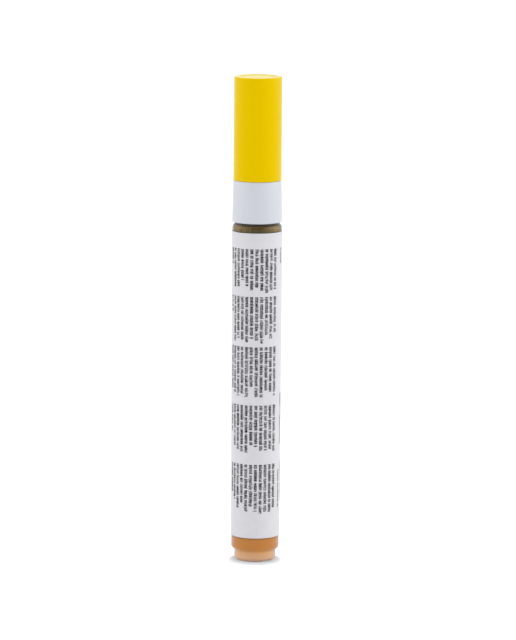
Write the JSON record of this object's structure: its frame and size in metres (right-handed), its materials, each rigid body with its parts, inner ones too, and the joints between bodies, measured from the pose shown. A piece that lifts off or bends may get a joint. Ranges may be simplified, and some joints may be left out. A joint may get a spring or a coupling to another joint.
{
  "type": "porcelain paint marker",
  "caption": "Slim capped paint marker with a valve-fed fibre nib, a tapered translucent barrel with a printed label, and a foot to stand on.",
  "frame": {"origin": "centre of the foot's underside, on the marker's axis", "axes": "+Z along the marker from foot to cap, -Y towards the printed face of the label, +X to the right seen from that face"},
  "size_m": [0.015, 0.0151, 0.1456],
  "materials": {
    "yellow_cap": "moulded yellow polypropylene",
    "white_section": "moulded white polypropylene",
    "tinted_barrel": "natural translucent polypropylene with orange paint behind it",
    "label_film": "white printed film",
    "print_ink": "black offset ink on the film",
    "paint": "liquid orange porcelain paint",
    "nib_fibre": "bonded polyester fibre",
    "inner_cap": "moulded natural polyethylene",
    "valve_plastic": "moulded natural acetal",
    "seal_rubber": "moulded black nitrile",
    "spring_steel": "drawn stainless wire",
    "ball_steel": "polished stainless ball"
  },
  "bodies": {
    "marker_body": {"barrel": "tinted_barrel", "label": "label_film", "mixing_ball": "ball_steel", "paint": "paint", "front_section": "white_section", "neck_gasket": "seal_rubber", "valve_body": "valve_plastic", "valve_seal": "seal_rubber", "valve_spring": "spring_steel", "spring_cup": "valve_plastic"},
    "nib_unit": {"nib": "nib_fibre", "valve_stem": "valve_plastic"},
    "cap_unit": {"cap": "yellow_cap", "inner_cap": "inner_cap"}
  },
  "joints": [
    {"name": "cap_pull", "type": "slide", "parent": "marker_body", "child": "cap_unit", "axis": [0, 0, 1], "range_m": [0, 0.045]},
    {"name": "nib_press", "type": "slide", "parent": "marker_body", "child": "nib_unit", "axis": [0, 0, -1], "range_m": [0, 0.002], "stiffness_N_per_m": 300, "springref_m": -0.004, "deforming": ["valve_spring"]}
  ]
}
